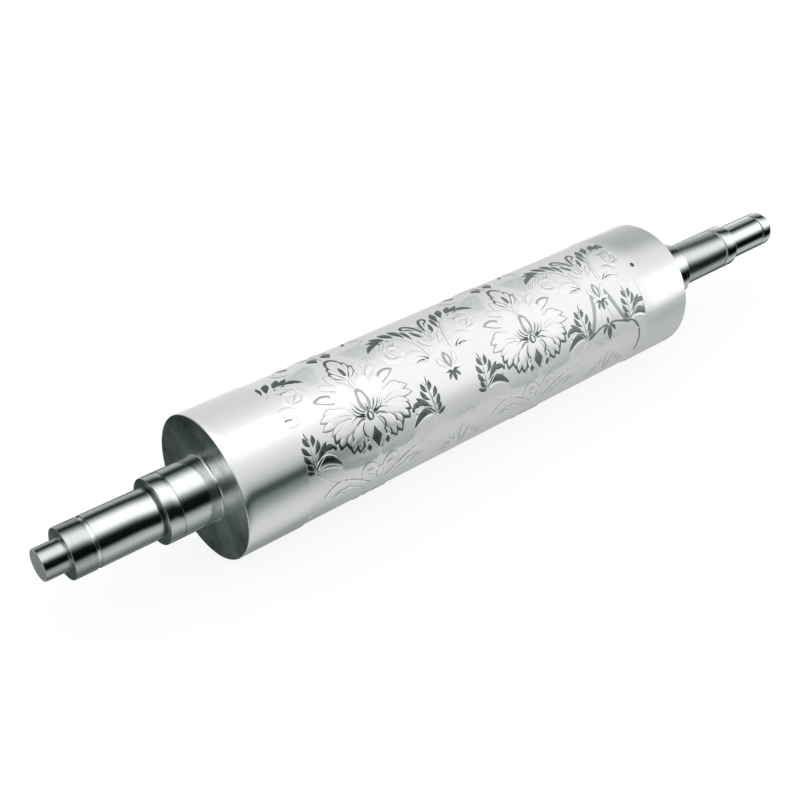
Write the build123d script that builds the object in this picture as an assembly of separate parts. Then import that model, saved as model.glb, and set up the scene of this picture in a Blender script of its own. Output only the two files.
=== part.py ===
from build123d import *
from math import ceil, cos, pi, radians, sin
import os

# Embossing roller, turned from one forging and engraved with a floral damask.
# Millimetres. X runs along the axis from the drive end to the far end, Z is up, and the origin
# is on the axis at the middle of the near bearing seat.

# Barrel
barrel_dia = 160.0
barrel_len = 660.0
barrel_edge = 1.0
plain_band = 76.0

# Collars that the bearing housings butt against
collar_dia = 72.0
near_collar_len = 60.0
far_collar_len = 65.0
collar_edge = 1.2
collar_root = 2.5
far_ring_len = 7.0
far_ring_step = 1.2
index_line_at = 16.0
index_line_width = 0.8
index_line_depth = 0.5

# Bearing seats, each with a ring groove that keeps the bearing on
seat_dia = 55.0
near_seat_len = 70.0
far_seat_len = 84.0
ring_groove_width = 4.0
ring_groove_depth = 1.5
seat_relief_width = 3.0
seat_relief_depth = 0.6
seat_edge = 1.5

# Ends beyond the ring grooves
near_end_len = 24.0
drive_stub_dia = 34.0
drive_stub_len = 25.0
drive_stub_edge = 1.5
far_end_len = 20.0
reduced_dia = 46.0
reduced_len = 63.0
reduced_groove_width = 2.0
reduced_groove_depth = 1.0
reduced_tail_len = 17.0
reduced_edge = 3.0

# Register mark on the far band
register_dia = 6.0
register_depth = 1.5
register_from_pattern = 9.0
register_angle = 31.0

# Damask, given on the unrolled surface: along the axis, and round from the top towards the front
engraving_depth = 1.2
repeat_len = 236.0
repeats_round = 2
first_flower = -163.0
sprig_from_flower = 81.0
least_shown = 5.0

# How far cutting shapes run past the metal, and the least half width that a prism's foot is sunk for
tool_clear = 2.0
prism_reach = 30.0

barrel_r = barrel_dia / 2
ground_r = barrel_r - engraving_depth
around = pi * barrel_dia / repeats_round

# Stations along the axis
near_seat_x = -near_seat_len / 2
near_end_x = near_seat_x - ring_groove_width - near_end_len
stub_x = near_end_x - drive_stub_len
collar_x = near_seat_len / 2
face_x = collar_x + near_collar_len
far_face_x = face_x + barrel_len
far_collar_x = far_face_x + far_collar_len
far_seat_x = far_collar_x + far_seat_len
far_end_x = far_seat_x + ring_groove_width + far_end_len
reduced_x = far_end_x + reduced_len
tail_x = reduced_x + reduced_groove_width
tip_x = tail_x + reduced_tail_len
mid_x = face_x + barrel_len / 2
pattern_half = barrel_len / 2 - plain_band


def stepped(steps):
    """A turned solid from (start, end, radius, edge at start, edge at end) along the axis."""
    outline = [(steps[0][0], 0)]
    for start, end, radius, first, last in steps:
        outline += [(start, radius - first), (start + first, radius)]
        outline += [(end - last, radius), (end, radius - last)]
    outline.append((steps[-1][1], 0))
    points = [p for i, p in enumerate(outline) if i == 0 or p != outline[i - 1]]
    face = make_face(Plane.XZ * Polyline(*points, close=True))
    return revolve(face, Axis.X)


def turned_blank():
    seat_r = seat_dia / 2
    collar_r = collar_dia / 2
    reduced_r = reduced_dia / 2
    groove_r = seat_r - ring_groove_depth
    relief_r = seat_r - seat_relief_depth
    ring_x = far_collar_x - far_ring_len
    root_r = collar_r + collar_root
    return stepped([
        (stub_x, near_end_x, drive_stub_dia / 2, drive_stub_edge, 0),
        (near_end_x, near_seat_x - ring_groove_width, seat_r, seat_edge, 0),
        (near_seat_x - ring_groove_width, near_seat_x, groove_r, 0, 0),
        (near_seat_x, collar_x - seat_relief_width, seat_r, 0, 0),
        (collar_x - seat_relief_width, collar_x, relief_r, 0, 0),
        (collar_x, face_x - collar_root, collar_r, collar_edge, 0),
        (face_x - collar_root, face_x, root_r, collar_root, 0),
        (face_x, far_face_x, barrel_r, barrel_edge, barrel_edge),
        (far_face_x, far_face_x + collar_root, root_r, 0, collar_root),
        (far_face_x + collar_root, ring_x, collar_r, 0, 0),
        (ring_x, far_collar_x, collar_r - far_ring_step, 0, collar_edge),
        (far_collar_x, far_collar_x + seat_relief_width, relief_r, 0, 0),
        (far_collar_x + seat_relief_width, far_seat_x, seat_r, 0, 0),
        (far_seat_x, far_seat_x + ring_groove_width, groove_r, 0, 0),
        (far_seat_x + ring_groove_width, far_end_x, seat_r, 0, seat_edge),
        (far_end_x, reduced_x, reduced_r, 0, 0),
        (reduced_x, tail_x, reduced_r - reduced_groove_depth, 0, 0),
        (tail_x, tip_x, reduced_r, 0, reduced_edge),
    ])


def leaf(base, tip, left, right):
    """A pointed leaf of two arcs. left and right are how far each side swells, as a share of
    half the length; a negative share bows that side inwards, as on a crescent."""
    return [(base, left), (tip, right)]


def straight(*points):
    return [(p, 0) for p in points]


def fan(base, first, last, notch=0.82):
    """A petal that opens from base to two tips with a notch between them."""
    x = base[0] + ((first[0] + last[0]) / 2 - base[0]) * notch
    y = base[1] + ((first[1] + last[1]) / 2 - base[1]) * notch
    return straight(base, first, (x, y), last)


def mirrored(outline):
    return [((-x, y), -swell) for (x, y), swell in outline]


def both_sides(*outlines):
    return list(outlines) + [mirrored(o) for o in outlines]


def shifted(outline, dx, dy):
    return [((x + dx, y + dy), swell) for (x, y), swell in outline]


def flower():
    """The open flower: crown, seed, upper petals, side petals and three tiers of fans."""
    middle = [
        straight((0, 28), (-13, 8), (0, -13), (13, 8)),
        straight((0, 69), (-8, 54), (0, 41), (8, 54)),
        straight((0, 86), (-6, 97), (0, 108), (6, 97)),
    ]
    return middle + both_sides(
        leaf((6, 66), (18, 21), 0.1, 0.35),
        leaf((26, 50), (53, 38), 0.2, 0.2),
        fan((20, 70), (54, 55), (57, 77)),
        straight((12, 73), (52, 83), (37, 97)),
        straight((6, 77), (33, 101), (13, 105)),
    )


def tree():
    """The branching candelabrum that stands between two flowers."""
    return both_sides(
        leaf((10, 52), (64, 3), 0.25, -0.15),
        straight((15, 48), (37, 28), (43, 42)),
        leaf((4, 56), (29, 101), 0.1, 0.1),
    )


def sprig():
    """A small branch whose large leaf reaches towards +X."""
    return [shifted(o, 0, 103) for o in (
        leaf((0, 1), (4, -45), 0.1, 0.1),
        leaf((2, 1), (33, 9), 0.35, 0),
    )]


def scrolls():
    """The leaf arches and the curled petals below a flower."""
    arches = both_sides(leaf((8, 158), (78, 146), 0.3, -0.15))
    return arches + [straight((0, 144), (-20, 128), (0, 122), (20, 128))]


def palmette():
    """The open leaf cluster below a tree."""
    return [straight((0, 164), (-32, 157), (0, 131), (32, 157))]


def pendant():
    """The hanging bellflower that fills the field between two rows of flowers."""
    return [straight((0, 206), (-20, 226), (0, 236), (20, 226))]


def motifs():
    """Every raised outline of the pattern with its shift along the axis from the middle."""
    placed = []
    first = -ceil((pattern_half + first_flower + repeat_len) / repeat_len)
    last = ceil((pattern_half - first_flower) / repeat_len)
    for column in range(first, last + 1):
        at = first_flower + column * repeat_len
        placed += [(at, o) for o in flower() + scrolls() + pendant()]
        placed += [(at + repeat_len / 2, o) for o in tree() + palmette()]
        placed += [(at - sprig_from_flower, o) for o in sprig()]
        placed += [(at + sprig_from_flower, mirrored(o)) for o in sprig()]
    return placed


def outline_edge(start, swell, end, unroll):
    """One side of an outline, straight or an arc, laid flat on the ornament's own plane."""
    if swell == 0:
        return Line(unroll(start), unroll(end))
    dx, dy = end[0] - start[0], end[1] - start[1]
    middle = ((start[0] + end[0] + swell * dy) / 2, (start[1] + end[1] - swell * dx) / 2)
    return ThreePointArc(unroll(start), unroll(middle), unroll(end))


def raised_prism(shift, outline, row):
    """One outline stood on the barrel as a prism that reaches past the surface."""
    xs = [p[0] for p, swell in outline]
    ys = [p[1] for p, swell in outline]
    cx = (min(xs) + max(xs)) / 2
    cy = (min(ys) + max(ys)) / 2
    spread = max((max(ys) - min(ys)) / 2, prism_reach) / barrel_r
    turn = (cy + row * around) / barrel_r
    low = ground_r * cos(spread) - tool_clear
    out = Vector(0, -sin(turn), cos(turn))
    plane = Plane(origin=Vector(mid_x + shift + cx, 0, 0) + out * low, x_dir=(1, 0, 0), z_dir=out)
    unroll = lambda p: (p[0] - cx, -barrel_r * sin((p[1] - cy) / barrel_r))
    edges = []
    for i, (start, swell) in enumerate(outline):
        end = outline[(i + 1) % len(outline)][0]
        edges.append(plane * outline_edge(start, swell, end, unroll))
    return extrude(make_face(edges), amount=barrel_r + tool_clear - low, dir=out)


def engraving():
    """The metal that the engraver takes away between the raised ornaments."""
    length = 2 * pattern_half
    axis = Plane(origin=(mid_x - pattern_half, 0, 0), z_dir=(1, 0, 0))
    bottom_up = (Align.CENTER, Align.CENTER, Align.MIN)
    sleeve = axis * Cylinder(barrel_r + tool_clear / 2, length, align=bottom_up)
    sleeve -= axis * Cylinder(ground_r, length, align=bottom_up)
    prisms = []
    for shift, outline in motifs():
        reach = [shift + p[0] for p, swell in outline]
        if max(reach) > least_shown - pattern_half and min(reach) < pattern_half - least_shown:
            prisms += [raised_prism(shift, outline, row) for row in range(repeats_round)]
    print(len(prisms), "raised ornaments")
    return sleeve.cut(*prisms)


def index_line():
    """The fine line that the collar carries near its outer edge."""
    axis = Plane(origin=(collar_x + index_line_at, 0, 0), z_dir=(1, 0, 0))
    bottom_up = (Align.CENTER, Align.CENTER, Align.MIN)
    r = collar_dia / 2
    ring = axis * Cylinder(r + tool_clear, index_line_width, align=bottom_up)
    return ring - axis * Cylinder(r - index_line_depth, index_line_width, align=bottom_up)


def register_mark():
    """The dimple on the far band that marks where the pattern starts."""
    turn = radians(register_angle)
    out = Vector(0, -sin(turn), cos(turn))
    x = mid_x + pattern_half + register_from_pattern
    spot = Plane(origin=Vector(x, 0, 0) + out * barrel_r, z_dir=out)
    return spot * Cylinder(register_dia / 2, 2 * register_depth)


def roller():
    body = turned_blank().cut(index_line(), register_mark())
    return body.cut(engraving())


def main():
    os.makedirs("parts", exist_ok=True)
    body = roller()
    body.label = "embossing_roller"
    export_step(body, "parts/embossing_roller.step")


main()
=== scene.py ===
import math

import bpy
import numpy as np
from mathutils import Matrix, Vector


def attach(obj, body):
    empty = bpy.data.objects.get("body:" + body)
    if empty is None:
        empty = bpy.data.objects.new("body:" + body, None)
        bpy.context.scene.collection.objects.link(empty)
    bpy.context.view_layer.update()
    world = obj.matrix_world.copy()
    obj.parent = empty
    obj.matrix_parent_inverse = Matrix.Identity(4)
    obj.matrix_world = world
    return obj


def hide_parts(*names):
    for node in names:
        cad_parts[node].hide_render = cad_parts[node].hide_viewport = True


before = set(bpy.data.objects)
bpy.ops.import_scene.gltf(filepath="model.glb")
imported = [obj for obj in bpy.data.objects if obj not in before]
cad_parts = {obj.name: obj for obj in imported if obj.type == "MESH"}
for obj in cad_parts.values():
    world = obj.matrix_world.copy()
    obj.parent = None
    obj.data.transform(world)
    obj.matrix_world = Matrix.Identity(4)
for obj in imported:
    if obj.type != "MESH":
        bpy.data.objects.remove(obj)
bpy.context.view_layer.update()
print("frame loaded")

# Metres. X runs along the axis from the drive end, and the barrel rests on the floor.
barrel = {"radius": 0.080, "length": 0.660, "plainBand": 0.076, "edge": 0.001}
engraving = {"depth": 0.0012, "repeat": 0.236, "rows": 2, "firstFlower": -0.163, "sprigOffset": 0.081}
shaft = {
    "collarRadius": 0.036, "nearCollar": 0.060, "farCollar": 0.065, "collarEdge": 0.0012,
    "root": 0.0025, "ring": 0.007, "ringStep": 0.0012,
    "lineAt": 0.016, "lineWidth": 0.0008, "lineDepth": 0.0005,
    "seatRadius": 0.0275, "nearSeat": 0.070, "farSeat": 0.084, "seatEdge": 0.0015,
    "groove": 0.004, "grooveDepth": 0.0015, "relief": 0.003, "reliefDepth": 0.0006,
    "nearEnd": 0.024, "stubRadius": 0.017, "stub": 0.025, "farEnd": 0.020,
    "reducedRadius": 0.023, "reduced": 0.063, "reducedGroove": 0.002, "reducedGrooveDepth": 0.001,
    "tail": 0.017, "tailEdge": 0.003,
}
faceX = shaft["nearSeat"] / 2 + shaft["nearCollar"]  # the barrel's near end face
farFaceX = faceX + barrel["length"]
midX = (faceX + farFaceX) / 2
zoneHalf = barrel["length"] / 2 - barrel["plainBand"]
groundRadius = barrel["radius"] - engraving["depth"]


def deselectAll():
    bpy.ops.object.select_all(action="DESELECT")


def makeActive(piece):
    deselectAll()
    piece.select_set(True)
    bpy.context.view_layer.objects.active = piece


# Camera at the photo's viewpoint
photoCamera = {"place": (-0.40458, -0.89863, 0.78494), "looks": (0.5358, 0.6340, -0.5577), "lens": 56.745}
bpy.ops.object.camera_add(location=photoCamera["place"])
camera = bpy.context.object
camera.name = "photoCamera"
camera.rotation_euler = Vector(photoCamera["looks"]).to_track_quat("-Z", "Y").to_euler()
camera.data.lens = photoCamera["lens"]
camera.data.sensor_width = 36
camera.data.clip_start = 0.01
bpy.context.scene.camera = camera
bpy.context.scene.view_settings.view_transform = "Standard"


# Materials
def newMaterial(name):
    material = bpy.data.materials.new(name)
    material.use_nodes = True
    return material, material.node_tree, material.node_tree.nodes["Principled BSDF"]


def addNode(tree, kind, **inputs):
    node = tree.nodes.new(kind)
    for key, value in inputs.items():
        node.inputs[key.replace("_", " ")].default_value = value
    return node


# Metal with turning lines round the axis, a slight clouding and a fine grain
def steel(name, look):
    material, tree, shader = newMaterial(name)
    shader.inputs["Metallic"].default_value = 1.0
    place = tree.nodes.new("ShaderNodeTexCoord")
    stretch = addNode(tree, "ShaderNodeMapping", Scale=look["stretch"])
    lines = addNode(tree, "ShaderNodeTexNoise", Scale=look["lineScale"], Detail=4.0, Roughness=0.65)
    clouds = addNode(tree, "ShaderNodeTexNoise", Scale=look["cloudScale"], Detail=3.0)
    tree.links.new(place.outputs["Object"], stretch.inputs["Vector"])
    tree.links.new(stretch.outputs["Vector"], lines.inputs["Vector"])
    tree.links.new(place.outputs["Object"], clouds.inputs["Vector"])
    tint = tree.nodes.new("ShaderNodeValToRGB")
    tint.color_ramp.elements[0].position = 0.3
    tint.color_ramp.elements[1].position = 0.7
    tint.color_ramp.elements[0].color = (*look["dark"], 1)
    tint.color_ramp.elements[1].color = (*look["light"], 1)
    tree.links.new(lines.outputs["Fac"], tint.inputs["Fac"])
    colour = tint.outputs["Color"]
    # the colour can be painted lighter towards the far end of the axis, where the painted dark reflections
    # are weaker
    if "farPaintedLift" in look:
        split = tree.nodes.new("ShaderNodeSeparateXYZ")
        tree.links.new(place.outputs["Object"], split.inputs["Vector"])
        farther = addNode(tree, "ShaderNodeMapRange", From_Min=look["farFrom"], From_Max=look["farTo"])
        tree.links.new(split.outputs["X"], farther.inputs["Value"])
        lift = tree.nodes.new("ShaderNodeMixRGB")
        lift.inputs["Color2"].default_value = (*look["farPaintedLift"], 1)
        tree.links.new(farther.outputs["Result"], lift.inputs["Fac"])
        tree.links.new(colour, lift.inputs["Color1"])
        colour = lift.outputs["Color"]
    tree.links.new(colour, shader.inputs["Base Color"])
    rough = addNode(tree, "ShaderNodeMapRange", To_Min=look["rough"][0], To_Max=look["rough"][1])
    tree.links.new(clouds.outputs["Fac"], rough.inputs["Value"])
    tree.links.new(rough.outputs["Result"], shader.inputs["Roughness"])
    bump = addNode(tree, "ShaderNodeBump", Strength=look["bump"], Distance=look["bumpDepth"])
    tree.links.new(lines.outputs["Fac"], bump.inputs["Height"])
    tree.links.new(bump.outputs["Normal"], shader.inputs["Normal"])
    return material


looks = {
    "journalSteel": {"stretch": (90, 1, 1), "lineScale": 26, "cloudScale": 30, "dark": (0.68, 0.715, 0.705),
                     "light": (0.78, 0.805, 0.795), "rough": (0.06, 0.12), "bump": 0.05, "bumpDepth": 0.0001},
    "endPieceSteel": {"stretch": (90, 1, 1), "lineScale": 26, "cloudScale": 30, "dark": (0.46, 0.50, 0.49),
                      "light": (0.60, 0.63, 0.62), "rough": (0.06, 0.12), "bump": 0.05, "bumpDepth": 0.0001},
    "bandSteel": {"stretch": (90, 1, 1), "lineScale": 30, "cloudScale": 18, "dark": (0.91, 0.93, 0.93),
                  "light": (0.96, 0.97, 0.97), "rough": (0.14, 0.20), "bump": 0.06, "bumpDepth": 0.0001},
    "groundSteel": {"stretch": (1, 1, 1), "lineScale": 700, "cloudScale": 40, "dark": (0.88, 0.89, 0.90),
                    "light": (0.97, 0.97, 0.98), "rough": (0.30, 0.40), "bump": 0.25, "bumpDepth": 0.0001},
    "reliefSteel": {"stretch": (1, 1, 1), "lineScale": 120, "cloudScale": 60, "dark": (0.95, 0.96, 0.96),
                    "light": (0.99, 0.99, 0.99), "rough": (0.14, 0.22), "bump": 0.05, "bumpDepth": 0.0001},
    # painted shade: a grey base colour for the walls of the relief, its outlines and fine folds, the rims
    # under petals and the scribed line on the collar
    "paintedShadeEdgeSteel": {"stretch": (1, 1, 1), "lineScale": 120, "cloudScale": 60, "dark": (0.40, 0.43, 0.44),
                  "light": (0.50, 0.53, 0.54), "rough": (0.16, 0.26), "bump": 0.05, "bumpDepth": 0.0001},
    # painted shade: a grey base colour for the hatch strokes, standing in for the shade in the engraved lines
    "paintedShadeHatchSteel": {"stretch": (1, 1, 1), "lineScale": 120, "cloudScale": 60, "dark": (0.60, 0.63, 0.635),
                   "light": (0.74, 0.765, 0.77), "rough": (0.2, 0.3), "bump": 0.05, "bumpDepth": 0.0001},
    # painted shade: a dark base colour that stands in for the dark reflections on the relief and the shade in
    # the collar's relief groove and the register dimple, painted lighter towards the far end
    "paintedShadeDarkSteel": {"stretch": (1, 1, 1), "lineScale": 160, "cloudScale": 60, "dark": (0.055, 0.075, 0.077),
                  "light": (0.17, 0.20, 0.20), "rough": (0.14, 0.24), "bump": 0.1, "bumpDepth": 0.0001,
                  "farPaintedLift": (0.27, 0.30, 0.31), "farFrom": 0.2, "farTo": 0.75},
    # the end faces: unplated steel, whose dark base colour and large mottled patches are painted reflections
    "endSteel": {"stretch": (1, 1, 1), "lineScale": 14, "cloudScale": 25, "dark": (0.12, 0.15, 0.145),
                 "light": (0.90, 0.94, 0.93), "rough": (0.24, 0.36), "bump": 0.03, "bumpDepth": 0.0001},
    "farSeatSteel": {"stretch": (90, 1, 1), "lineScale": 26, "cloudScale": 30, "dark": (0.48, 0.52, 0.51),
                     "light": (0.58, 0.61, 0.60), "rough": (0.18, 0.26), "bump": 0.05, "bumpDepth": 0.0001},
    "sawnSteel": {"stretch": (1, 1, 1), "lineScale": 60, "cloudScale": 25, "dark": (0.62, 0.66, 0.65),
                  "light": (0.78, 0.81, 0.80), "rough": (0.5, 0.6), "bump": 0.1, "bumpDepth": 0.0001},
}
steels = {name: steel(name, look) for name, look in looks.items()}
print("materials made")


# Turned body: one profile spun round the axis, whose corners (x, radius, rounding) are rounded off
def roundedCorners(corners, points=5):
    out = []
    for i, (x, r, size) in enumerate(corners):
        here = Vector((x, r))
        if size <= 0 or i == 0 or i == len(corners) - 1:
            out.append(here)
            continue
        before = Vector(corners[i - 1][:2]) - here
        after = Vector(corners[i + 1][:2]) - here
        reach = min(size, before.length * 0.49, after.length * 0.49)
        a = here + before.normalized() * reach
        b = here + after.normalized() * reach
        for k in range(points):
            t = k / (points - 1)
            out.append(a * (1 - t) ** 2 + here * 2 * t * (1 - t) + b * t ** 2)
    return out


def turnedProfile():
    s = shaft
    seat, collar, reduced = s["seatRadius"], s["collarRadius"], s["reducedRadius"]
    grooved, relieved = seat - s["grooveDepth"], seat - s["reliefDepth"]
    slim, sharp = reduced - s["reducedGrooveDepth"], 0.0003
    grooveX = -s["nearSeat"] / 2 - s["groove"]
    endX = grooveX - s["nearEnd"]
    collarX = s["nearSeat"] / 2
    lineX = collarX + s["lineAt"]
    farCollarX = farFaceX + s["farCollar"]
    ringX = farCollarX - s["ring"]
    farSeatX = farCollarX + s["farSeat"]
    farEndX = farSeatX + s["groove"] + s["farEnd"]
    reducedX = farEndX + s["reduced"]
    tailX = reducedX + s["reducedGroove"]
    tipX = tailX + s["tail"]
    outer = barrel["radius"]
    return [
        (endX - s["stub"], 0, 0), (endX - s["stub"], s["stubRadius"], 0.0018),
        (endX, s["stubRadius"], 0.0008),
        (endX, seat, s["seatEdge"]), (grooveX, seat, sharp), (grooveX, grooved, sharp),
        (grooveX + s["groove"], grooved, sharp), (grooveX + s["groove"], seat, sharp),
        (collarX - s["relief"], seat, sharp), (collarX - s["relief"], relieved, sharp),
        (collarX, relieved, sharp), (collarX, collar, s["collarEdge"]),
        (lineX, collar, 0.0001), (lineX, collar - s["lineDepth"], 0.0001),
        (lineX + s["lineWidth"], collar - s["lineDepth"], 0.0001), (lineX + s["lineWidth"], collar, 0.0001),
        (faceX, collar, s["root"]), (faceX, outer, barrel["edge"]),
        (midX - zoneHalf, outer, 0.0002), (midX - zoneHalf, groundRadius, 0.0002),
        (midX + zoneHalf, groundRadius, 0.0002), (midX + zoneHalf, outer, 0.0002),
        (farFaceX, outer, barrel["edge"]), (farFaceX, collar, s["root"]),
        (ringX, collar, sharp), (ringX, collar - s["ringStep"], sharp),
        (farCollarX, collar - s["ringStep"], s["collarEdge"]), (farCollarX, relieved, sharp),
        (farCollarX + s["relief"], relieved, sharp), (farCollarX + s["relief"], seat, sharp),
        (farSeatX, seat, sharp), (farSeatX, grooved, sharp),
        (farSeatX + s["groove"], grooved, sharp), (farSeatX + s["groove"], seat, sharp),
        (farEndX, seat, s["seatEdge"]), (farEndX, reduced, 0.0006),
        (reducedX, reduced, sharp), (reducedX, slim, sharp), (tailX, slim, sharp), (tailX, reduced, sharp),
        (tipX, reduced, s["tailEdge"]), (tipX, 0, 0),
    ]


turning = {"steps": 288, "smoothAngle": math.radians(28)}


def turnBody():
    points = roundedCorners(turnedProfile())
    bpy.ops.mesh.primitive_plane_add(size=0.01, location=(0, 0, 0))
    body = bpy.context.object
    body.name = "turnedRoller"
    bpy.ops.object.mode_set(mode="EDIT")
    bpy.ops.mesh.select_all(action="SELECT")
    bpy.ops.mesh.merge(type="CENTER")
    first = points[0]
    bpy.ops.transform.translate(value=(first.x, 0, first.y))
    for before, here in zip(points, points[1:]):
        step = here - before
        bpy.ops.mesh.extrude_vertices_move(TRANSFORM_OT_translate={"value": (step.x, 0, step.y)})
    bpy.ops.mesh.select_all(action="SELECT")
    bpy.ops.mesh.spin(steps=turning["steps"], angle=2 * math.pi, center=(0, 0, 0), axis=(1, 0, 0))
    bpy.ops.mesh.select_all(action="SELECT")
    bpy.ops.mesh.remove_doubles(threshold=0.000002)
    bpy.ops.mesh.normals_make_consistent(inside=False)
    bpy.ops.object.mode_set(mode="OBJECT")
    return body


marks = {"registerX": zoneHalf + 0.009, "registerTurn": 31, "registerSize": 0.003, "registerDepth": 0.0015,
         "punchReach": 0.050, "punchTurn": 12, "punchSize": 0.001, "punchDepth": 0.001}


# The register dimple on the far band and the punch mark on the near end face
def cutMarks(body):
    registerTurn, punchTurn = math.radians(marks["registerTurn"]), math.radians(marks["punchTurn"])
    reach = barrel["radius"]
    spots = [
        ((midX + marks["registerX"], -reach * math.sin(registerTurn), reach * math.cos(registerTurn)),
         (registerTurn, 0, 0), marks["registerSize"], marks["registerDepth"]),
        ((faceX, -marks["punchReach"] * math.sin(punchTurn), marks["punchReach"] * math.cos(punchTurn)),
         (0, math.pi / 2, 0), marks["punchSize"], marks["punchDepth"]),
    ]
    for place, rotation, radius, depth in spots:
        bpy.ops.mesh.primitive_cylinder_add(vertices=24, radius=radius, depth=2 * depth,
                                            location=place, rotation=rotation)
        drill = bpy.context.object
        makeActive(body)
        bpy.ops.object.modifier_add(type="BOOLEAN")
        cutter = body.modifiers[-1]
        cutter.operation = "DIFFERENCE"
        cutter.object = drill
        bpy.ops.object.modifier_apply(modifier=cutter.name)
        bpy.data.objects.remove(drill)


finishes = ["journalSteel", "bandSteel", "groundSteel", "endSteel", "endPieceSteel",
            "farSeatSteel", "sawnSteel", "paintedShadeEdgeSteel", "paintedShadeDarkSteel"]


# Gives each stretch of the turned body its finish, by the place and slope of its faces; the end faces, the
# collar's relief groove, the scribed line and the register dimple get painted shade, and the near groove a
# painted highlight
def paintBody(body):
    for name in finishes:
        body.data.materials.append(steels[name])
    grooveX = -shaft["nearSeat"] / 2
    collarX = shaft["nearSeat"] / 2
    lineX = collarX + shaft["lineAt"]
    farSeatX = farFaceX + shaft["farCollar"] + shaft["farSeat"] / 2
    for face in body.data.polygons:
        middle = face.center
        radius = math.hypot(middle.y, middle.z)
        x = middle.x
        finish = "journalSteel"
        if x < grooveX - shaft["groove"] - shaft["nearEnd"] - shaft["stub"] + 0.0003:
            finish = "sawnSteel"
        # the end faces take the finish with painted dark reflections and mottled patches
        elif abs(face.normal.x) > 0.9 and radius < barrel["radius"] - 0.002:
            finish = "endSteel"
        elif abs(x - midX) < zoneHalf and radius > groundRadius - 0.001:
            finish = "groundSteel"
        # the register dimple is painted dark as shade in its hollow
        elif abs(x - midX - marks["registerX"]) < 0.004 and 0.04 < radius < barrel["radius"] - 0.0001:
            finish = "paintedShadeDarkSteel"
        elif radius > shaft["collarRadius"] + shaft["root"]:
            finish = "bandSteel"
        elif x < grooveX - shaft["groove"]:
            finish = "endPieceSteel"
        # the near groove takes the bright band finish as a painted highlight
        elif x < grooveX:
            finish = "bandSteel"
        # the relief groove at the collar's foot is painted dark as shade
        elif collarX - shaft["relief"] < x < collarX:
            finish = "paintedShadeDarkSteel"
        # the scribed line on the collar is painted grey as shade in its groove
        elif abs(x - lineX) < 0.0009:
            finish = "paintedShadeEdgeSteel"
        elif abs(x - farSeatX) < shaft["farSeat"] / 2:
            finish = "farSeatSteel"
        face.material_index = finishes.index(finish)


body = turnBody()
cutMarks(body)
paintBody(body)
makeActive(body)
bpy.ops.object.shade_smooth_by_angle(angle=turning["smoothAngle"])
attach(body, "root")
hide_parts("embossing_roller")
print("body turned:", len(body.data.polygons), "faces")


# Raised ornaments. A motif is laid flat first, in millimetres: x along the axis, s round the
# barrel from the top towards the front, h above the engraved ground.
blanks = {"leafBlank": {"around": 12, "along": 12}, "strokeBlank": {"around": 6, "along": 5}}
relief = {"sunk": 0.35, "top": 0.75, "highest": 1.2, "side": 1.1, "smoothAngle": math.radians(40)}


# The closed blank that leaves are shaped from, and where its points lie along and across a leaf
def makeBlank(name, around, along):
    bpy.ops.mesh.primitive_uv_sphere_add(segments=around, ring_count=along, radius=1)
    blank = bpy.context.object
    blank.name = name
    points = np.array([v.co for v in blank.data.vertices])
    turn = np.arctan2(points[:, 1], points[:, 0])
    pole = np.hypot(points[:, 0], points[:, 1]) < 1e-4
    across = np.where(pole, 0.0, np.cos(turn))
    edge = np.abs(across) > 0.99
    top = (np.sin(turn) > 0.01) & ~pole & ~edge
    for face in blank.data.polygons:
        corners = list(face.vertices)
        face.material_index = 0 if top[corners].any() and not edge[corners].any() else 1
    return {"piece": blank, "along": np.arccos(np.clip(points[:, 2], -1, 1)) / math.pi,
            "across": across, "edge": edge, "top": top}


blanks = {name: makeBlank(name, **size) for name, size in blanks.items()}


# Point and direction at each t on the smooth curve that a few given points pull along
def curvePoint(spine, t):
    points = [np.outer(np.ones_like(t), np.array(p, float)) for p in spine]
    while len(points) > 2:
        points = [a + (b - a) * t[:, None] for a, b in zip(points, points[1:])]
    place = points[0] + (points[1] - points[0]) * t[:, None]
    ahead = points[1] - points[0]
    length = np.maximum(np.hypot(ahead[:, 0], ahead[:, 1]), 1e-9)
    return place, ahead / length[:, None]


# How wide a form is along its length, from 0 at an end to 1 at the widest
def almond(t):
    return np.sin(math.pi * t) ** 0.75


def drop(t):
    return (np.sin(math.pi * t ** 0.62)) ** 0.8


def petal(t):
    return (np.sin(math.pi * t ** 1.5)) ** 0.7


def ribbon(t):
    return np.minimum(1, np.minimum(t, 1 - t) / 0.12) ** 0.6


def tapered(t):
    return np.minimum(1, t / 0.06) ** 0.6 * (1 - t) ** 0.7


def bead(t):
    return np.sqrt(np.clip(np.sin(math.pi * t), 0, 1))


def flame(t):
    return np.clip(np.sin(math.pi * t ** 1.35), 0, 1) ** 1.05


def rounded(t):
    return np.clip(np.sin(math.pi * t), 0, 1) ** 0.62


def kite(t):
    return 1 - np.abs(2 * t - 1)


# How high a form stands across its width, from -1 at one edge to 1 at the other
def pillowed(a):
    return 1 - 0.45 * np.abs(a) ** 3


def veined(a):
    return 1 - 0.3 * np.abs(a) ** 4 - 0.45 * np.exp(-(a / 0.25) ** 2)


def rimmed(a):
    return 0.62 + 0.38 * np.exp(-((np.abs(a) - 0.8) / 0.25) ** 2)


def ridged(a):
    return 1 - 0.5 * np.abs(a) ** 1.5


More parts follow.
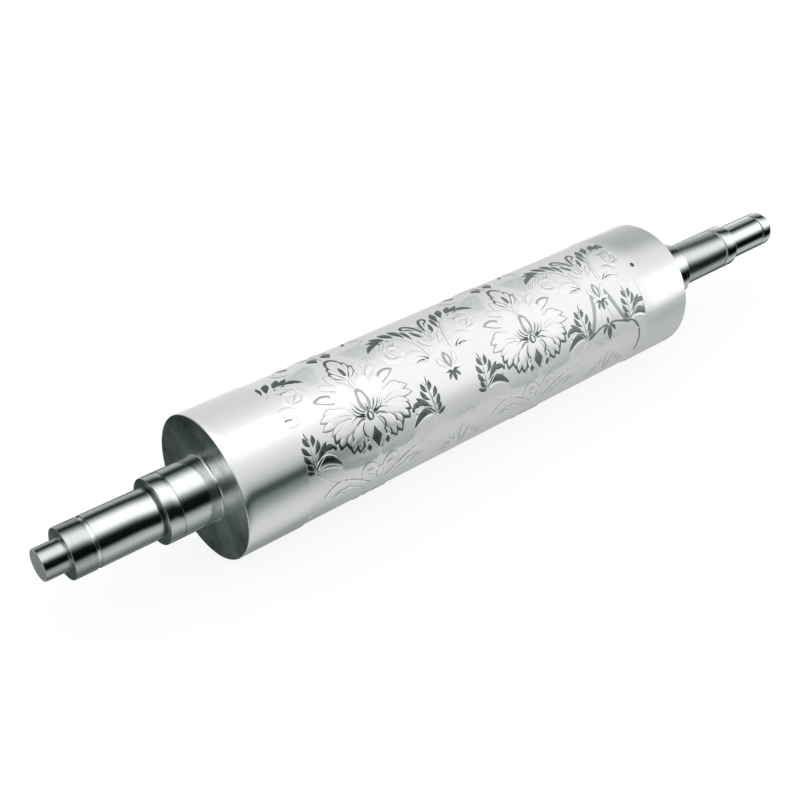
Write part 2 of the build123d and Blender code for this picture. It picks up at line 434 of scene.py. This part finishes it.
# One closed form of the relief; its sides take a darker finish, painted shade on its walls, unless they are
# soft
def leaf(spine, width, form=almond, section=pillowed, high=1.0, finish="reliefSteel", soft=False,
         blank="leafBlank"):
    base = blanks[blank]
    t = base["along"]
    place, ahead = curvePoint(spine, t)
    side = np.stack([-ahead[:, 1], ahead[:, 0]], 1)
    wide = form(t) * width / 2
    inner = 1 - np.minimum(relief["side"] / np.maximum(wide, 1e-6), 0.4)
    level = np.where(np.abs(base["across"]) > 0.7, 1.0, np.where(np.abs(base["across"]) > 0.2, 0.5, 0.0))
    across = np.sign(base["across"]) * np.where(base["edge"], 1.0, level * inner)
    flat = place + side * (wide * across)[:, None]
    ends = np.clip(form(t) * 1.6, 0, 1) ** 0.5
    height = section(np.sign(across) * level) * relief["top"] * high * ends
    height = np.where(base["top"], np.minimum(height, relief["highest"]), -relief["sunk"])
    sides = "paintedShadeEdgeSteel"
    if soft:
        sides = "reliefSteel"
    elif finish in ("paintedShadeDarkSteel", "paintedShadeHatchSteel"):
        sides = finish
    return {"points": np.column_stack([flat, height]), "finishes": (finish, sides), "blank": blank}


# A relief form in the dark finish: painted shade and dark reflection
def dark(spine, width, form=almond, section=ridged, high=1.0):
    return leaf(spine, width, form, section, high, "paintedShadeDarkSteel")


def soft(spine, width, form=petal, section=pillowed, high=1.0):
    return leaf(spine, width, form, section, high, soft=True)


# A light petal over a darker one that shows past its tip and along its edges, a painted rim of shade round
# the petal
def edged(spine, width, form=petal, tip=2.6, rim=2.2, under="paintedShadeDarkSteel"):
    end, before = np.array(spine[-1], float), np.array(spine[-2], float)
    beyond = end + (end - before) / np.hypot(*(end - before)) * tip
    low = leaf(spine[:-1] + [tuple(beyond)], width + rim, form, ridged, 0.62, under)
    return [low, leaf(spine, width, form, pillowed)]


# A hatch stroke in the grey finish, painted shade along the engraved line
def stroke(start, end, width=1.0, high=0.5):
    return leaf([start, end], width, ribbon, ridged, high, "paintedShadeHatchSteel", blank="strokeBlank")


def flipped(form):
    return {**form, "points": form["points"] * np.array([-1, 1, 1])}


def bothSides(*forms):
    return list(forms) + [flipped(f) for f in forms]


def moved(forms, dx, ds):
    return [{**f, "points": f["points"] + np.array([dx, ds, 0])} for f in forms]


# The open flower, its crown at the top and its fans below
def flowerForms():
    forms = [
        dark([(0, 30), (0, 8), (0, -15)], 20, petal, ridged, 0.6),
        leaf([(0, 34), (0, 10), (0, -10)], 17, petal),
        dark([(0, 24), (0, 16), (0, 8)], 9, bead, pillowed, 1.2),
        leaf([(0, 22), (0, 16), (0, 10)], 4.6, bead, rimmed, 1.5, "paintedShadeEdgeSteel"),
        leaf([(0, 42), (0, 34), (0, 26)], 6, almond, ridged, 1.2),
        # teardrop
        leaf([(0, 69.5), (0, 55), (0, 40.5)], 17, rounded, pillowed, 1.3, "paintedShadeEdgeSteel"),
        soft([(0, 67.5), (0, 55), (0, 43)], 13.6, rounded, pillowed, 1.45),
        dark([(0, 67), (0, 62), (0, 57)], 5.5, drop, ridged, 1.6),
        # knob and lozenge
        dark([(0, 79), (0, 74), (0, 68)], 10, bead, pillowed, 1.3),
        leaf([(0, 77.5), (0, 74), (0, 69)], 7, bead, pillowed, 1.6),
        dark([(0, 84), (0, 97), (0, 110)], 14.5, kite, ridged, 1.1),
    ]
    sides = [
        # bracts beside the crown
        leaf([(12, 32), (19, 24), (19, 9)], 11, petal, veined, 0.9),
        leaf([(19, 37), (25, 26), (37, 23)], 11, petal, veined, 0.9),
        # almond petals
        leaf([(24, 50), (36, 35), (53, 37)], 13, almond, ridged, 0.8, "paintedShadeEdgeSteel"),
        soft([(26, 48.5), (37, 36.5), (50, 37.6)], 10, almond, pillowed, 1.05),
        # upper petals
        soft([(14, 66), (25, 50), (28, 32)], 16, petal, pillowed, 0.95),
        soft([(8, 66), (11, 44), (16, 24)], 20, petal, pillowed, 1.1),
        # bodies of the fans
        leaf([(12, 71), (30, 56), (49, 64)], 20, petal, pillowed, 1.1),
        leaf([(8, 73), (26, 69), (44, 85)], 18, petal, pillowed, 1.1),
        leaf([(6, 76), (17, 80), (27, 98)], 16, petal, pillowed, 1.05),
        # calligraphic sepals
        dark([(4, 72), (12, 73), (20, 67), (23, 56)], 2.6, tapered, ridged, 1.5),
        dark([(4, 70), (10, 70), (16, 64), (18, 55)], 2.0, tapered, ridged, 1.5),
        dark([(3.6, 68), (8, 67), (12, 62), (12.5, 55)], 1.7, tapered, ridged, 1.6),
        dark([(5, 73), (13, 66), (24, 70), (31, 80)], 2.8, tapered, ridged, 1.5),
        dark([(6, 75), (12, 72), (19, 76), (21, 83)], 2.0, tapered, ridged, 1.5),
        dark([(8, 76), (16, 82), (17, 88), (9, 95)], 4.4, almond, ridged, 1.4),
        # fine folds of the fans
        leaf([(20, 66), (34, 59), (47, 61)], 1.6, tapered, ridged, 1.4, "paintedShadeEdgeSteel"),
        leaf([(20, 69), (34, 65), (48, 67)], 1.6, tapered, ridged, 1.4, "paintedShadeEdgeSteel"),
        leaf([(14, 86), (20, 90), (23, 98)], 1.6, tapered, ridged, 1.4, "paintedShadeEdgeSteel"),
        # light frames beside the lozenge
        dark([(12, 101), (12, 105), (12, 110)], 8, kite, ridged, 0.6),
        leaf([(3, 112), (8, 104), (12, 98)], 3.4, ribbon, pillowed, 1.3),
        leaf([(11.5, 98), (16, 102), (21, 110)], 3.4, ribbon, pillowed, 1.3),
    ]
    for spine, width in [([(0, 22), (5, 6), (6, -3)], 7), ([(0, 26), (9, 12), (10, 4)], 7),
                         ([(0, 29), (10, 21), (13, 12)], 7)]:
        sides += edged(spine, width)
    for spine, width in [([(26, 60), (38, 51), (50, 54)], 9), ([(28, 62), (44, 56), (57, 60)], 10),
                         ([(28, 65), (44, 64), (59, 69)], 10), ([(26, 68), (40, 70), (51, 77)], 8)]:
        sides += edged(spine, width, flame, 1.8, 1.8, "paintedShadeEdgeSteel")
    for spine, width in [([(32, 76), (43, 76), (49, 84)], 9), ([(30, 79), (42, 84), (45, 92)], 9),
                         ([(26, 80), (34, 87), (35, 95)], 8.5), ([(22, 88), (31, 93), (32, 102)], 8.5),
                         ([(16, 90), (23, 96), (24, 104)], 8), ([(11, 90), (16, 96), (16, 102)], 6.5)]:
        sides += edged(spine, width, flame, 3.6, 3.4)
    return forms + bothSides(*sides)


# The branching candelabrum between two flowers
def treeForms():
    forms = [
        leaf([(0, 30), (0, 10), (0, -6)], 3, tapered, ridged, 1.4),
        leaf([(0, 64), (0, 53), (0, 43)], 11, almond, pillowed, 1.2, "paintedShadeEdgeSteel"),
        leaf([(0, 61), (0, 53), (0, 46)], 6.5, almond, pillowed, 1.5),
        dark([(0, 66), (0, 72), (0, 80)], 6, almond),
    ]
    sides = [
        # arms with their dark feather leaves
        dark([(52, 1), (64, -8), (76, 8)], 8, almond, ridged, 1.1),
        dark([(50, 2), (55, -8), (66, -11)], 7.5, flame),
        dark([(42, 3), (49, -8), (58, -17)], 9.5, flame),
        dark([(33, 4), (37, -10), (45, -18)], 9.5, flame),
        dark([(25, 9), (26, -6), (32, -17)], 9, flame),
        dark([(20, 16), (19, 4), (22, -7)], 6, flame),
        leaf([(14.5, 49), (17, 10), (34, -16), (71, 6)], 6.5, tapered, pillowed, 1.4),
        leaf([(48, 1), (56, 4), (64, 13)], 6, petal, veined),
        leaf([(36, 2), (44, 5), (50, 13)], 6, petal, veined),
        # white volutes
        soft([(60, 8), (73, 24), (58, 38), (43, 28)], 8, ribbon, pillowed),
        soft([(45, 30), (36, 16), (48, 5), (60, 13)], 7, ribbon, pillowed, 0.9),
        leaf([(47, 26), (55, 28), (61, 16)], 8, petal, pillowed, 1.2),
        leaf([(46, 18), (52, 12), (58, 18)], 5, petal, pillowed, 1.2),
        dark([(43, 10), (50, 8), (56, 14)], 2, tapered, ridged, 1.4),
        # ear loops
        dark([(2, 14), (3, -8), (13, -22), (21, -12), (15, -4)], 4.4, ribbon),
        dark([(16, -5), (9, -4), (8, 4)], 3.4, tapered),
        dark([(4, 18), (12, 12), (14, 0)], 6, almond),
        leaf([(1, 27), (6, 20), (7, 8)], 7, petal, veined),
        leaf([(3, 34), (11, 27), (16, 16)], 7.5, petal, veined),
        # side leaves
        soft([(18, 48), (30, 49), (45, 46)], 10, petal, pillowed, 0.9),
        soft([(17, 47), (27, 28), (48, 38)], 17, petal, pillowed),
        dark([(19, 45), (25, 37), (35, 37)], 3, tapered, ridged, 1.5),
        dark([(24, 44), (30, 40), (37, 44)], 2.6, tapered, ridged, 1.5),
        # petals round the medallion
        soft([(2, 64), (9, 68), (14, 62)], 6, petal, pillowed),
        leaf([(3, 62), (10, 58), (12, 46)], 7.5, petal, pillowed),
        dark([(1, 67), (5, 70), (8, 76)], 4.6, almond),
        dark([(1, 67), (6, 65), (10, 67)], 4.4, almond),
    ]
    return forms + bothSides(*sides)


# The legs, garland and small stars that hang below the tree nearest the far end
def garlandForms():
    forms = [
        dark([(0, 88), (0, 92), (0, 97)], 5, almond),
        dark([(0, 98), (0, 106), (0, 118)], 9, almond),
        dark([(32, 103), (50, 104), (60, 130), (52, 160)], 3.4, ribbon),
    ]
    sides = [
        leaf([(10, 52), (15, 78), (30, 102)], 6.5, ribbon, ridged, 1.0, "paintedShadeEdgeSteel"),
        leaf([(3, 66), (5, 84), (13, 96)], 2.6, tapered, ridged),
        dark([(0, 98), (12, 93), (24, 103), (38, 106)], 3, ribbon),
        dark([(1, 99), (8, 99), (10, 108)], 6, almond),
    ]
    return forms + bothSides(*sides)


# A small branch with dark leaflets; its large leaf reaches towards +x
def sprigForms():
    forms = [
        soft([(3, -34), (1, -42), (6, -48)], 9, drop, rimmed),
        dark([(3, -33), (0, -38), (1, -44)], 3.6, almond),
        dark([(1, 0), (14, -17), (34, 7)], 9.5, almond),
        soft([(2, 2), (16, -4), (33, 11)], 6, almond, ridged, 0.9),
        soft([(1, -2), (12, -21), (30, -3)], 2, ribbon, ridged, 1.3),
        dark([(-1, 1), (-6, 1), (-13, -4)], 6, almond),
        dark([(12, -11), (20, -23), (31, -14)], 7.5, flame),
        dark([(24, -17), (30, -17), (29, -11)], 5, petal),
        dark([(10, -9), (14, -19), (22, -25)], 6.5, flame),
        dark([(12, -9), (20, -5), (27, -9)], 5.5, flame),
        dark([(5, -5), (8, -12), (14, -16)], 5, almond),
    ]
    for base, tip in [((3, -26), (-2, -38)), ((2, -17), (-7, -30)), ((1, -8), (-8, -21)),
                      ((0, -1), (-7, -12)), ((4, -25), (9, -38)), ((3, -16), (13, -31)),
                      ((2, -8), (14, -22))]:
        bend = (base[0] + (tip[0] - base[0]) * 0.9, base[1] + (tip[1] - base[1]) * 0.3)
        forms.append(dark([base, bend, tip], 6.6, flame))
    forms += [
        leaf([(0, 2), (1, -18), (4, -38)], 2.6, tapered, ridged, 1.5),
        leaf([(1, 2), (9, -9), (21, -15)], 2.4, tapered, ridged, 1.5),
        # the stem that runs down to the next arch
        soft([(0, 1), (12, 22), (32, 29), (54, 29)], 4, tapered, pillowed, 0.9),
    ]
    return moved(forms, 0, 103)


# Leaf arches, tendrils and the curled petals below a flower
def scrollForms():
    forms = [
        leaf([(0, 150), (0, 140), (0, 130)], 10, drop, veined),
        leaf([(-4, 137), (0, 132), (4, 137)], 6, bead, pillowed),
    ]
    sides = [
        leaf([(6, 158), (34, 136), (58, 112), (78, 148)], 7.5, tapered, rimmed),
        leaf([(16, 160), (36, 146), (54, 130), (66, 152)], 5, tapered, pillowed),
        leaf([(30, 153), (37, 143), (47, 142)], 8, petal, veined),
        leaf([(42, 154), (50, 145), (60, 148)], 8, petal, veined),
        leaf([(20, 158), (26, 150), (34, 149)], 7, petal, veined),
        leaf([(4, 142), (5, 122), (22, 118), (22, 135)], 8, ribbon, pillowed),
        leaf([(3, 145), (9, 134), (18, 133)], 8, petal, veined),
        leaf([(25, 130), (25, 146), (7, 158)], 2.6, ribbon, ridged),
    ]
    return forms + bothSides(*sides)


# The open leaf cluster below a tree
def palmetteForms():
    forms = [leaf([(0, 164), (0, 148), (0, 131)], 10, petal, veined)]
    sides = []
    for tip, width in [((12, 138), 9), ((22, 145), 8), ((31, 154), 8), ((36, 163), 6)]:
        sides.append(leaf([(1, 166), (8, 156), tip], width, petal, veined))
    return forms + bothSides(*sides)


# The hanging bellflower and crescents in the field between two rows of flowers
def pendantForms():
    forms = [leaf([(0, 236), (0, 222), (0, 206)], 7, drop, veined)]
    sides = [
        dark([(9, 221), (9, 226), (8, 236)], 13, drop, ridged),
        leaf([(2, 219), (5, 208), (16, 210), (17, 219)], 4, ribbon, pillowed),
        leaf([(2, 206), (10, 192), (24, 184)], 9, petal, veined),
        leaf([(40, 234), (62, 234), (62, 212), (44, 210)], 6, almond, pillowed),
        dark([(36, 220), (42, 214), (44, 206)], 6, almond),
        leaf([(3, 202), (10, 182), (4, 174)], 6, petal, veined),
    ]
    return forms + bothSides(*sides)


hatching = {"step": 3.1, "lean": 1.0, "sample": 1.0, "shortest": 4.0}


# Whether a point lies inside an outline
def isInside(x, y, outline):
    inside = False
    for (ax, ay), (bx, by) in zip(outline, outline[1:] + outline[:1]):
        if (ay > y) != (by > y) and x < ax + (bx - ax) * (y - ay) / (by - ay):
            inside = not inside
    return inside


# Two sets of fine slanting lines, kept where they lie inside an outline
def crossHatch(outline):
    forms = []
    xs, ys = zip(*outline)
    tall = max(ys) - min(ys)
    reach = tall * hatching["lean"]
    for slant in (-1, 1):
        lean = hatching["lean"] * slant
        first = min(xs) - (reach if slant > 0 else 0)
        for k in range(int((max(xs) - min(xs) + reach) / hatching["step"]) + 1):
            x = first + k * hatching["step"]
            run = [t for t in np.arange(0, tall, hatching["sample"])
                   if isInside(x + lean * t, min(ys) + t, outline)]
            if run and run[-1] - run[0] > hatching["shortest"]:
                ends = [(x + lean * t, min(ys) + t) for t in (run[0], run[-1])]
                forms.append(stroke(*ends))
    return forms


# Fine hatching round the flowers and beside the sprigs
def hatchForms():
    forms = crossHatch([(14, -15), (28, -22), (58, -12), (56, 6), (44, 20), (30, 19), (24, 7), (18, -3)])
    forms += crossHatch([(1, 113), (14, 110), (26, 108), (44, 102), (52, 108), (50, 118), (30, 125),
                         (1, 122)])
    for k in range(11):
        x = 90 + k * 3.4
        forms.append(stroke((x, 108 + (k * 5) % 4), (x + 8 + k % 3, 119 + (k * 7) % 5)))
    return bothSides(*forms)


# Joins the forms of a motif into one flat mesh
def layFlat(name, forms):
    copies = []
    for form in forms:
        source = blanks[form["blank"]]["piece"]
        piece = source.copy()
        piece.data = source.data.copy()
        piece.data.vertices.foreach_set("co", (form["points"] / 1000).ravel())
        for finish in form["finishes"]:
            piece.data.materials.append(steels[finish])
        bpy.context.collection.objects.link(piece)
        copies.append(piece)
    deselectAll()
    for piece in copies:
        piece.select_set(True)
    bpy.context.view_layer.objects.active = copies[0]
    bpy.ops.object.join()
    flat = bpy.context.object
    flat.name = name
    return flat


# Cuts off what runs past the ends of the engraved zone
def trimToZone(piece):
    xs = [v.co.x for v in piece.data.vertices]
    for sign in (-1, 1):
        if max(x * sign for x in xs) > zoneHalf:
            makeActive(piece)
            bpy.ops.object.mode_set(mode="EDIT")
            bpy.ops.mesh.select_all(action="SELECT")
            bpy.ops.mesh.bisect(plane_co=(sign * zoneHalf, 0, 0), plane_no=(sign, 0, 0),
                                use_fill=True, clear_outer=True)
            bpy.ops.object.mode_set(mode="OBJECT")


# Rolls a flat piece round the barrel
def wrap(piece, row):
    co = np.array([v.co for v in piece.data.vertices])
    turn = (co[:, 1] + row * 2 * math.pi * barrel["radius"] / engraving["rows"]) / barrel["radius"]
    reach = groundRadius + co[:, 2]
    rolled = np.column_stack([co[:, 0] + midX, -reach * np.sin(turn), reach * np.cos(turn)])
    piece.data.vertices.foreach_set("co", rolled.ravel())


# Copies a motif to each place along the barrel and each row round it, as one piece
def placeMotif(name, flat, shifts, mirroredShifts=()):
    placed = []
    for shift, flip in [(x, 1) for x in shifts] + [(x, -1) for x in mirroredShifts]:
        for row in range(engraving["rows"]):
            piece = flat.copy()
            piece.data = flat.data.copy()
            co = np.array([v.co for v in piece.data.vertices])
            co[:, 0] = co[:, 0] * flip + shift
            piece.data.vertices.foreach_set("co", co.ravel())
            bpy.context.collection.objects.link(piece)
            trimToZone(piece)
            wrap(piece, row)
            placed.append(piece)
    deselectAll()
    for piece in placed:
        piece.select_set(True)
    bpy.context.view_layer.objects.active = placed[0]
    bpy.ops.object.join()
    whole = bpy.context.object
    whole.name = name
    bpy.ops.object.mode_set(mode="EDIT")
    bpy.ops.mesh.select_all(action="SELECT")
    bpy.ops.mesh.normals_make_consistent(inside=False)
    bpy.ops.object.mode_set(mode="OBJECT")
    makeActive(whole)
    bpy.ops.object.shade_smooth_by_angle(angle=relief["smoothAngle"])
    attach(whole, "root")
    bpy.data.objects.remove(flat)
    print(name, len(whole.data.polygons), "faces")
    return whole


flowerAt = [engraving["firstFlower"] + k * engraving["repeat"] for k in range(2)]
treeAt = [engraving["firstFlower"] + (k - 0.5) * engraving["repeat"] for k in range(3)]
sprigAt = [x - engraving["sprigOffset"] for x in flowerAt + [flowerAt[-1] + engraving["repeat"]]]
sprigBackAt = [x + engraving["sprigOffset"] for x in flowerAt]
placeMotif("damaskFlowers", layFlat("flatFlower", flowerForms()), flowerAt)
placeMotif("damaskTrees", layFlat("flatTree", treeForms()), treeAt)
placeMotif("damaskSprigs", layFlat("flatSprig", sprigForms()), sprigAt, sprigBackAt)
placeMotif("damaskScrolls", layFlat("flatScroll", scrollForms()), flowerAt)
placeMotif("damaskPalmettes", layFlat("flatPalmette", palmetteForms()), treeAt)
placeMotif("damaskPendants", layFlat("flatPendant", pendantForms()), flowerAt)
placeMotif("damaskGarland", layFlat("flatGarland", garlandForms()), treeAt[-1:])
placeMotif("damaskHatching", layFlat("flatHatching", hatchForms()), flowerAt)
for blank in blanks.values():
    bpy.data.objects.remove(blank["piece"])


# Floor and surroundings
studio = {"floorSize": 12.0, "floorWhite": 0.86, "floorGlow": 0.80, "floorLight": 1.06}


def makeFloor():
    bpy.ops.mesh.primitive_plane_add(size=studio["floorSize"], location=(midX, 0, -barrel["radius"]))
    floor = bpy.context.object
    floor.name = "studioFloor"
    material = bpy.data.materials.new("floorPaper")
    material.use_nodes = True
    tree = material.node_tree
    tree.nodes.remove(tree.nodes["Principled BSDF"])
    paper = addNode(tree, "ShaderNodeBsdfDiffuse", Color=(studio["floorWhite"],) * 3 + (1,))
    glow = addNode(tree, "ShaderNodeEmission", Strength=studio["floorLight"])
    mix = addNode(tree, "ShaderNodeMixShader")
    path = tree.nodes.new("ShaderNodeLightPath")
    share = addNode(tree, "ShaderNodeMath")
    share.operation = "MULTIPLY"
    share.inputs[1].default_value = studio["floorGlow"]
    tree.links.new(path.outputs["Is Camera Ray"], share.inputs[0])
    tree.links.new(share.outputs["Value"], mix.inputs["Fac"])
    tree.links.new(paper.outputs["BSDF"], mix.inputs[1])
    tree.links.new(glow.outputs["Emission"], mix.inputs[2])
    tree.links.new(mix.outputs["Shader"], tree.nodes["Material Output"].inputs["Surface"])
    floor.data.materials.append(material)
    floor.visible_glossy = False


makeFloor()

# What polished metal sees, by the angle round the roller's axis from straight up towards the
# front. The journals see a dark room with a white box overhead; farther along it stands more forward.
roomLight = [
    (-180, 0.15), (-160, 0.50), (-135, 0.95), (-119, 1.03), (-104, 0.84), (-89, 0.56), (-76, 0.46),
    (-68, 0.33), (-61, 0.15), (-54, 0.04), (-45, 0.03), (-37, 0.20), (-29, 0.42), (-19, 0.85), (-9, 1.25),
    (0, 1.45),
    (22, 1.45), (31, 1.20), (38, 0.85), (44, 0.48), (51, 0.24), (58, 0.06), (66, 0.004), (92, 0.003),
    (99, 0.10), (105, 0.30), (111, 0.46), (128, 0.62), (141, 0.52), (151, 0.38), (161, 0.28), (180, 0.15),
]
roomTurn = {"from": 0.36, "to": 0.75, "degrees": 30}
# The barrel sees a light tent that changes from its near end over its middle to its far end
tentNear = [
    (-180, 0.60), (-77, 0.88), (-59, 0.72), (-34, 0.68), (-19, 0.68), (-4, 0.77), (6, 0.90), (13, 1.10),
    (31, 1.14), (37, 1.00), (44, 0.82), (50, 0.74), (57, 0.65), (63, 0.54), (69, 0.34), (74, 0.06),
    (79, 0.06), (84, 0.20), (90, 0.30), (98, 0.50), (108, 0.64), (120, 0.66), (129, 0.58), (145, 0.32),
    (180, 0.30),
]
tentMiddle = [
    (-180, 0.55), (-77, 0.72), (-59, 0.62), (-34, 0.64), (-12, 0.70), (3, 0.82), (14, 0.93), (35, 0.96),
    (58, 0.94), (66, 0.86), (74, 0.64), (84, 0.50), (92, 0.50), (105, 0.59), (120, 0.56), (140, 0.48),
    (180, 0.45),
]
tentFar = [
    (-180, 0.60), (-77, 0.95), (-66, 0.82), (-58, 0.62), (-42, 0.55), (-25, 0.46), (-8, 0.43), (1, 0.47),
    (10, 0.62), (20, 0.76), (32, 0.82), (40, 0.88), (46, 1.05), (76, 1.10), (82, 0.80), (88, 0.52),
    (98, 0.44), (112, 0.48), (130, 0.50), (180, 0.45),
]
tent = {"radius": 0.12, "mouth": 0.0815, "start": 0.0955, "skirtEnd": 0.1205, "end": 0.842, "fade": 0.001,
        "nearTo": (0.22, 0.36), "farFrom": (0.68, 0.74), "steps": 144}
endDark = {"towards": (0.41, 0.69, -0.60), "inner": 0.97, "outer": 0.72, "colour": (0.07, 0.093, 0.089)}


# Dark reflections are a little green
def tinted(value):
    shade = 1 - 0.45 * (max(0.0, 0.8 - value) / 0.8) ** 3
    return (value * shade, value, value * (0.7 + 0.3 * shade), 1)


def mathNode(tree, operation, first, second=None):
    node = addNode(tree, "ShaderNodeMath")
    node.operation = operation
    for i, value in enumerate([first, second]):
        if isinstance(value, (int, float)):
            node.inputs[i].default_value = value
        elif value is not None:
            tree.links.new(value, node.inputs[i])
    return node.outputs["Value"]


def rangeNode(tree, value, low, high, top=1.0, kind="LINEAR"):
    node = addNode(tree, "ShaderNodeMapRange", From_Min=low, From_Max=high, To_Max=top)
    node.interpolation_type = kind
    tree.links.new(value, node.inputs["Value"])
    return node.outputs["Result"]


def blend(tree, factor, first, second):
    node = tree.nodes.new("ShaderNodeMixShader")
    tree.links.new(factor, node.inputs["Fac"])
    tree.links.new(first, node.inputs[1])
    tree.links.new(second, node.inputs[2])
    return node.outputs["Shader"]


# A place or direction split into its x and its angle round the axis
def alongAndRound(tree, vector):
    split = tree.nodes.new("ShaderNodeSeparateXYZ")
    tree.links.new(vector, split.inputs["Vector"])
    front = mathNode(tree, "MULTIPLY", split.outputs["Y"], -1.0)
    return split, mathNode(tree, "ARCTAN2", front, split.outputs["Z"])


# A light whose colour changes with the angle
def rampLight(tree, kind, angle, levels):
    ramp = tree.nodes.new("ShaderNodeValToRGB")
    stops = ramp.color_ramp.elements
    for stop, (degrees, value) in zip(list(stops), (levels[0], levels[-1])):
        stop.position = (degrees + 180) / 360
        stop.color = tinted(value)
    for degrees, value in levels[1:-1]:
        stops.new((degrees + 180) / 360).color = tinted(value)
    turns = addNode(tree, "ShaderNodeMapRange", From_Min=-math.pi, From_Max=math.pi)
    tree.links.new(angle, turns.inputs["Value"])
    tree.links.new(turns.outputs["Result"], ramp.inputs["Fac"])
    light = addNode(tree, kind, Strength=1.0)
    tree.links.new(ramp.outputs["Color"], light.inputs["Color"])
    return light.outputs[0]


def makeWorld():
    world = bpy.data.worlds.new("studioRoom")
    bpy.context.scene.world = world
    world.use_nodes = True
    tree = world.node_tree
    plain = tree.nodes["Background"]
    plain.inputs["Color"].default_value = (1, 1, 1, 1)
    plain.inputs["Strength"].default_value = 1.0
    place = tree.nodes.new("ShaderNodeTexCoord")
    split, angle = alongAndRound(tree, place.outputs["Generated"])
    turn = rangeNode(tree, split.outputs["X"], roomTurn["from"], roomTurn["to"],
                     math.radians(roomTurn["degrees"]))
    room = rampLight(tree, "ShaderNodeBackground", mathNode(tree, "SUBTRACT", angle, turn), roomLight)
    # dark room beyond each end of the roller, which its end faces look at
    folded = tree.nodes.new("ShaderNodeCombineXYZ")
    tree.links.new(mathNode(tree, "ABSOLUTE", split.outputs["X"]), folded.inputs["X"])
    tree.links.new(split.outputs["Y"], folded.inputs["Y"])
    tree.links.new(split.outputs["Z"], folded.inputs["Z"])
    near = tree.nodes.new("ShaderNodeVectorMath")
    near.operation = "DOT_PRODUCT"
    near.inputs[1].default_value = Vector(endDark["towards"]).normalized()
    tree.links.new(folded.outputs["Vector"], near.inputs[0])
    spot = rangeNode(tree, near.outputs["Value"], endDark["outer"], endDark["inner"], 1.0, "SMOOTHSTEP")
    beyond = addNode(tree, "ShaderNodeBackground", Color=(*endDark["colour"], 1), Strength=1.0)
    seen = blend(tree, spot, room, beyond.outputs[0])
    path = tree.nodes.new("ShaderNodeLightPath")
    whole = blend(tree, path.outputs["Is Glossy Ray"], plain.outputs[0], seen)
    tree.links.new(whole, tree.nodes["World Output"].inputs["Surface"])


# The light tent round the barrel, seen only in its reflections; it narrows to the barrel's near edge
def makeTent():
    deselectAll()
    lengths = [(tent["start"], tent["skirtEnd"], tent["mouth"]),
               (tent["skirtEnd"], tent["end"], tent["radius"])]
    cloths = []
    for start, end, first in lengths:
        bpy.ops.mesh.primitive_cone_add(vertices=tent["steps"], radius1=first, radius2=tent["radius"],
                                        depth=end - start, end_fill_type="NOTHING",
                                        rotation=(0, math.pi / 2, 0), location=((start + end) / 2, 0, 0))
        cloths.append(bpy.context.object)
    for cloth in cloths:
        cloth.select_set(True)
    bpy.ops.object.join()
    sheet = bpy.context.object
    sheet.name = "studioTent"
    bpy.ops.object.transform_apply(location=True, rotation=True, scale=True)
    material = bpy.data.materials.new("tentCloth")
    material.use_nodes = True
    tree = material.node_tree
    tree.nodes.remove(tree.nodes["Principled BSDF"])
    place = tree.nodes.new("ShaderNodeTexCoord")
    split, angle = alongAndRound(tree, place.outputs["Object"])
    x = split.outputs["X"]
    near, middle, far = [rampLight(tree, "ShaderNodeEmission", angle, levels)
                         for levels in (tentNear, tentMiddle, tentFar)]
    cloth = blend(tree, rangeNode(tree, x, *tent["nearTo"]), near, middle)
    cloth = blend(tree, rangeNode(tree, x, *tent["farFrom"]), cloth, far)
    starts = rangeNode(tree, x, tent["start"], tent["start"] + tent["fade"])
    ends = rangeNode(tree, x, tent["end"], tent["end"] - tent["fade"])
    clear = tree.nodes.new("ShaderNodeBsdfTransparent")
    cloth = blend(tree, mathNode(tree, "MULTIPLY", starts, ends), clear.outputs["BSDF"], cloth)
    tree.links.new(cloth, tree.nodes["Material Output"].inputs["Surface"])
    sheet.data.materials.append(material)
    sheet.visible_camera = False
    sheet.visible_diffuse = False
    sheet.visible_transmission = False
    sheet.visible_shadow = False
    sheet.visible_volume_scatter = False


makeWorld()
makeTent()
print("studio set")
